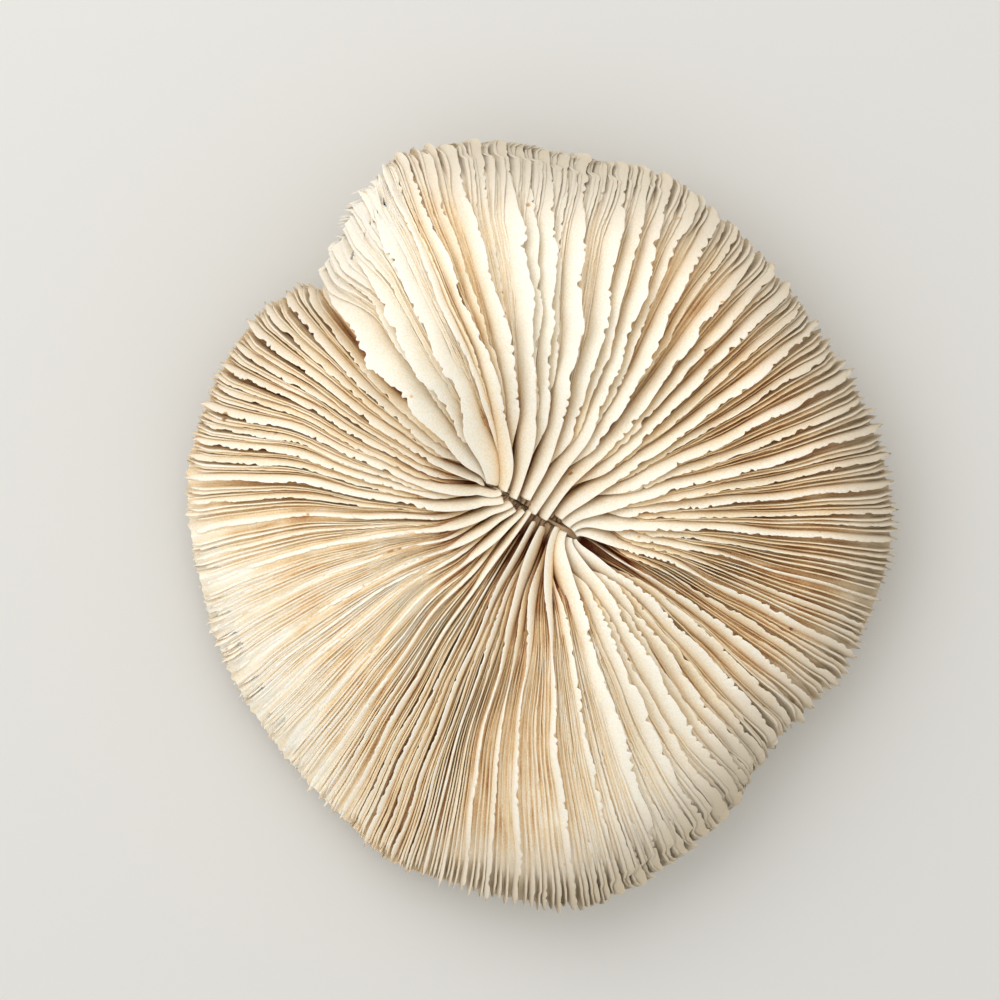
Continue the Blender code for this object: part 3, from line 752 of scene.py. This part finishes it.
def bleached_aragonite(colours):
    """Aragonite blades, bleached and dried: chalky and matt, with painted shade and some stain that deepen the colour
    down the gaps, and painted shade greying the rim.
    """
    material, tree, shader = new_material("bleached_aragonite")
    place = add_node(tree, "ShaderNodeTexCoord").outputs["Object"]
    depth = add_node(tree, "ShaderNodeAttribute", {"attribute_name": "depth"}).outputs["Fac"]
    # Clouds of stain 4 mm across shift how deep the colour seems.
    cloud = add_node(tree, "ShaderNodeTexNoise", {"Scale": 1 / (CLOUDS * MM), "Detail": 1.0}, {"Vector": place})
    shifted = add_node(
        tree, "ShaderNodeMapRange", {"From Min": 0.3, "From Max": 0.7, "To Min": 0.85, "To Max": 1.2},
        {"Value": cloud.outputs["Fac"]},
    )
    # A few brown specks, 1 to 2 mm across, lie anywhere.
    mottle = add_node(tree, "ShaderNodeTexNoise", {"Scale": 1 / (SPECKS * MM), "Detail": 1.0}, {"Vector": place})
    specks = add_node(
        tree, "ShaderNodeMapRange", {"From Min": 0.77, "From Max": 0.83, "To Min": 0.0, "To Max": 0.8},
        {"Value": mottle.outputs["Fac"]},
    )
    seen = add_node(
        tree, "ShaderNodeMath", {"operation": "MULTIPLY_ADD"},
        {0: depth, 1: shifted.outputs["Result"], 2: specks.outputs["Result"]},
    )
    # Granules 0.35 mm apart roughen the faces and mottle them. Real ones are finer, too fine to show.
    grain = add_node(tree, "ShaderNodeTexNoise", {"Scale": 1 / (GRANULES * MM), "Detail": 0.0}, {"Vector": place})
    mottled = add_node(
        tree, "ShaderNodeMapRange", {"From Min": 0.3, "From Max": 0.7, "To Min": -0.05, "To Max": 0.05},
        {"Value": grain.outputs["Fac"]},
    )
    seen = add_node(
        tree, "ShaderNodeMath", {"operation": "ADD"}, {0: seen.outputs["Value"], 1: mottled.outputs["Result"]}
    )
    # The ramp paints light and shade by depth: whitest at the crests, then amber and tan, standing for the warm glow
    # of light through the thin blades, to brown at the foot of the gaps as painted shade.
    ramp = add_node(tree, "ShaderNodeValToRGB", links={"Fac": seen.outputs["Value"]})
    stops = (
        (0.0, colours.crest), (0.1, colours.flank), (0.28, colours.amber), (0.55, colours.tan), (1.0, colours.deep)
    )
    while len(ramp.color_ramp.elements) < len(stops):
        ramp.color_ramp.elements.new(0.5)
    for element, (position, colour) in zip(ramp.color_ramp.elements, stops):
        element.position = position
        element.color = colour
    # Towards the rim, where it faces away from the light, painted shade greys them; in the mouth the grey is the
    # spongy matter's own brown-grey.
    grey = add_node(tree, "ShaderNodeAttribute", {"attribute_name": "grey"}).outputs["Fac"]
    tinted = add_node(
        tree, "ShaderNodeMix", {"data_type": "RGBA", 7: colours.tip}, {0: grey, 6: ramp.outputs["Color"]}
    )
    bump = add_node(
        tree, "ShaderNodeBump", {"Strength": 0.4, "Distance": 0.08 * MM}, {"Height": grain.outputs["Fac"]}
    )
    tree.links.new(tinted.outputs[2], shader.inputs["Base Color"])
    tree.links.new(bump.outputs["Normal"], shader.inputs["Normal"])
    shader.inputs["Roughness"].default_value = 0.85
    shader.inputs["Specular IOR Level"].default_value = 0.3
    # Light goes about a millimetre into it, so that thin edges glow and the gaps turn amber.
    shader.inputs["Subsurface Weight"].default_value = 0.4
    shader.inputs["Subsurface Radius"].default_value = (1.0, 0.85, 0.65)
    shader.inputs["Subsurface Scale"].default_value = 0.4 * MM
    return material


def worn_aragonite(colours):
    """The underside's aragonite, rubbed and weathered: duller than the blades, and pitted."""
    material, tree, shader = new_material("worn_aragonite")
    place = add_node(tree, "ShaderNodeTexCoord").outputs["Object"]
    # Clouds of wear 5 mm across.
    cloud = add_node(tree, "ShaderNodeTexNoise", {"Scale": 1 / (WEAR * MM), "Detail": 4.0}, {"Vector": place})
    ramp = add_node(tree, "ShaderNodeValToRGB", links={"Fac": cloud.outputs["Fac"]})
    ramp.color_ramp.elements[0].position = 0.35
    ramp.color_ramp.elements[0].color = colours.under
    ramp.color_ramp.elements[1].position = 0.7
    ramp.color_ramp.elements[1].color = colours.flank
    # Pores about 0.8 mm apart.
    pores = add_node(tree, "ShaderNodeTexVoronoi", {"Scale": 1 / (PORES * MM)}, {"Vector": place})
    bump = add_node(
        tree, "ShaderNodeBump", {"Strength": 0.5, "Distance": 0.15 * MM}, {"Height": pores.outputs["Distance"]}
    )
    tree.links.new(ramp.outputs["Color"], shader.inputs["Base Color"])
    tree.links.new(bump.outputs["Normal"], shader.inputs["Normal"])
    shader.inputs["Roughness"].default_value = 0.9
    shader.inputs["Specular IOR Level"].default_value = 0.25
    return material


def disc_rows(sizes):
    """The disc's rings from the mouth's floor over the rim to the scar, by columns, by xyz in millimetres, and
    the painted shade with stain, and the grey, of its columns: painted shade at the rim, the matter's own in the
    mouth."""
    chance = np.random.default_rng(DISC_SEED)
    numbers = np.arange(COUNT * SLOTS)

    def places(out):
        """Even columns lie under the blades, and odd ones midway."""
        under = np.array([blade_place(number, out) for number in numbers])
        ahead = np.append(under[1:], under[:1] + COUNT, axis=0)
        return np.stack((under, (under + ahead) / 2), axis=1).reshape((-1,) + under.shape[1:]).T

    place_at_rim = places(np.array(COLUMNS_END))
    midway = np.arange(place_at_rim.size) % 2
    felt = felted(place_at_rim)
    rim = disc_rim_at(place_at_rim) - DISC_EDGE_TEAR * (1 - felt) * chance.uniform(0, 1, midway.size)
    rim += felt * midway * DISC_TEETH * chance.uniform(0, 1, midway.size)
    phases = chance.uniform(0, 1, (len(GAP_STREAKS_LONG), rim.size))
    rows, depths, greys = [], [], []
    for share in np.linspace(0.0, 1.0, TOP_RINGS) ** DISC_CROWDING:
        out = DISC_START + share * (rim - DISC_START)
        place = places(np.array(max(COLUMNS_START, DISC_START + share * COLUMNS_SPAN)))
        fill = fill_at(place, out)
        lean, hook = lean_at(place, out)
        aside = lean * (fill - 1) + hook * (fill ** bend_power(hook) - 1)
        foot = crest_plan(place, out) + sideways(place, out) * aside[:, None]
        heap = MOUTH_FILL * (1 - smooth_step(0.0, MOUTH_FILL_OUT, out))
        heap += chance.uniform(-MOUTH_ROUGHNESS, MOUTH_ROUGHNESS, out.shape)
        further = smooth_step(*FILL_RIDGE_OUT, out)
        ridge = midway * FILL_RIDGE * further * chance.uniform(*FILL_RIDGE_UNEVEN, rim.size)
        ridge *= 1 + felt * smooth_step(*FILL_RIDGE_FROM_RIM, out - rim)
        filled = fill * curve(out, BLADE_OUT, BLADE_HEIGHT) + ridge
        rows.append(np.column_stack((foot, ground_at(place, out) + heap * (1 - share) + filled)))
        # The gap floor's colour value is painted shade with some stain: darker the lower the fill and nearer the
        # mouth, paler on the raised ridges, with random streaks of stain.
        streaks = sum(np.sin(math.tau * (out / long + phase)) for long, phase in zip(GAP_STREAKS_LONG, phases))
        shade_and_stain = 1 - fill + GAP_SHADE_AND_STAIN + GAP_SHADE_AND_STAIN_NEAR_MOUTH * (1 - further)
        shade_and_stain = shade_and_stain + GAP_STREAKS * (streaks / 2 - GAP_RIDGES_PALE * midway)
        shade_and_stain = np.clip(shade_and_stain, 0.0, 1.0) * shade_and_stain_left(place, out)
        in_mouth = 1 - smooth_step(*MOUTH_OUT, out)
        depths.append(shade_and_stain + (MOUTH_STAIN - shade_and_stain) * in_mouth)
        # Painted shade greys the rim where it faces away from the light; in the mouth the grey is the spongy matter's
        # own.
        greys.append(folded(RIM_GREYS, place) * near_rim(place, out, GREY_WIDE) + MOUTH_GREY * in_mouth)
    foot_at_rim = rows[-1][:, :2]
    angle = crest_bearing(place_at_rim, np.full_like(rim, SCAR_RADIUS)) + MOUTH_TURN
    around = np.stack((np.cos(angle), np.sin(angle)), axis=1)
    low = underside_at(place_at_rim, rim)
    for share in np.linspace(1.0, 0.0, UNDER_RINGS):
        plan = around * SCAR_RADIUS + (foot_at_rim - around * SCAR_RADIUS) * share
        spines = chance.uniform(0, 1, rim.size) ** 2 * sizes.spine / MM
        rib = share**RIB_GROWTH * (1 - midway) * (RIB_AT_LEAST + spines)
        rows.append(np.column_stack((plan, np.maximum(low * share**UNDER_BOW - rib, 0.0))))
    for share in np.linspace(*SCAR_SHARES, SCAR_RINGS):
        dents = chance.uniform(0, SCAR_DENTS, rim.size)
        rows.append(np.column_stack((around * SCAR_RADIUS * share, dents)))
    below = [0 * rim] * (len(rows) - TOP_RINGS)
    return np.array(rows), {"depth": np.array(depths + below), "grey": np.array(greys + below)}


class GrowDisc(bpy.types.Operator):
    """Grow the disc: the mouth's floor, the ground between the septa, the ribbed underside and its scar."""

    bl_idname = "coral.grow_disc"
    bl_label = "Grow the disc"

    def execute(self, context):
        sizes, colours = context.scene.coral_sizes, context.scene.coral_colours
        rows, shade_and_stains = disc_rows(sizes)
        rings = len(rows) + 1
        disc, ring, column = ball(rows.shape[1], rings)
        shade_and_stains = {name: spread(values, ring, column, rings) for name, values in shade_and_stains.items()}
        shape(disc.data, spread(rows, ring, column, rings), shade_and_stains)
        finish_piece(disc, "disc", bleached_aragonite(colours))
        disc.data.materials.append(worn_aragonite(colours))
        for face in disc.data.polygons:
            if face.normal.z < 0:
                face.material_index = 1
        return {"FINISHED"}


class GrowSepta(bpy.types.Operator):
    """Grow one rank of septa: a blade is modelled once, and each copy is bent to its own course."""

    bl_idname = "coral.grow_septa"
    bl_label = "Grow a rank of septa"

    rank: bpy.props.EnumProperty(
        name="Rank", description="Which rank of septa to grow",
        items=[(name, name.capitalize(), f"The {name} septa") for name in RANKS],
    )

    def execute(self, context):
        rank = RANKS[self.rank]
        rings = rank["rings"]
        blank, ring, column = ball(2 * len(rank["flank"]) + 2, rings)
        blades = []
        for unit in range(COUNT):
            for slot in rank["slots"]:
                points, shade_and_stains = blade_points(unit * SLOTS + slot, self.rank, context.scene.coral_sizes)
                blade = blank.copy()
                blade.data = blank.data.copy()
                context.collection.objects.link(blade)
                shade_and_stains = {name: spread(values, ring, column, rings) for name, values in shade_and_stains.items()}
                shape(blade.data, spread(points, ring, column, rings), shade_and_stains)
                blades.append(blade)
        only(blank)
        bpy.ops.object.delete()
        only(*blades)
        bpy.ops.object.join()
        material = bpy.data.materials.get("bleached_aragonite") or bleached_aragonite(context.scene.coral_colours)
        finish_piece(blades[0], f"{self.rank}_septa", material)
        return {"FINISHED"}


class SetStage(bpy.types.Operator):
    """Set the coral on a pale matt table under soft window light, with the camera straight above."""

    bl_idname = "coral.set_stage"
    bl_label = "Set the stage"

    def execute(self, context):
        bpy.ops.object.select_all(action="DESELECT")
        bpy.ops.mesh.primitive_plane_add(size=TABLE_WIDTH)
        table = context.object
        table.name = "table_top"
        material, tree, shader = new_material("matt_table_top")
        shader.inputs["Base Color"].default_value = context.scene.coral_colours.table
        shader.inputs["Roughness"].default_value = 0.7
        table.data.materials.append(material)

        world = bpy.data.worlds.new("soft_room")
        world.use_nodes = True
        background = world.node_tree.nodes["Background"]
        background.inputs["Color"].default_value = context.scene.coral_colours.room
        background.inputs["Strength"].default_value = ROOM_STRENGTH
        context.scene.world = world
        for name, place, size, power in LIGHTS:
            bpy.ops.object.light_add(type="AREA", location=place)
            light = context.object
            light.name = name
            light.data.size = size
            light.data.energy = power
            toward = -np.array(place) / np.linalg.norm(place)
            light.rotation_euler = (math.acos(-toward[2]), 0.0, math.atan2(-toward[0], toward[1]))

        right, up, high = PHOTO_CENTRE
        bpy.ops.object.camera_add(location=(right * MM, up * MM, (high + CAMERA_AWAY) * MM))
        camera = context.object
        camera.data.sensor_width = SENSOR
        camera.data.lens = SENSOR * CAMERA_AWAY / PHOTO_SPAN
        camera.data.clip_start = CLIP_START * MM
        context.scene.camera = camera
        context.scene.view_settings.view_transform = "Standard"
        return {"FINISHED"}


class CoralPanel(bpy.types.Panel):
    """The coral's sizes, colours and pieces."""

    bl_idname = "VIEW3D_PT_coral"
    bl_label = "Mushroom coral"
    bl_space_type = "VIEW_3D"
    bl_region_type = "UI"
    bl_category = "Coral"

    def draw(self, context):
        for group in (context.scene.coral_sizes, context.scene.coral_colours):
            for name in group.bl_rna.properties.keys():
                if name not in ("rna_type", "name"):
                    self.layout.prop(group, name)
        for name in RANKS:
            self.layout.operator("coral.grow_septa", text=f"Grow {name} septa").rank = name
        self.layout.operator("coral.grow_disc")
        self.layout.operator("coral.set_stage")


CLASSES = (CoralSizes, CoralColours, GrowDisc, GrowSepta, SetStage, CoralPanel)


def register():
    for one in CLASSES:
        bpy.utils.register_class(one)
    bpy.types.Scene.coral_sizes = bpy.props.PointerProperty(type=CoralSizes)
    bpy.types.Scene.coral_colours = bpy.props.PointerProperty(type=CoralColours)


def unregister():
    del bpy.types.Scene.coral_sizes
    del bpy.types.Scene.coral_colours
    for one in reversed(CLASSES):
        bpy.utils.unregister_class(one)


def main():
    register()
    bpy.ops.coral.grow_disc()
    for name in RANKS:
        bpy.ops.coral.grow_septa(rank=name)
    bpy.ops.coral.set_stage()


if __name__ == "__main__":
    main()
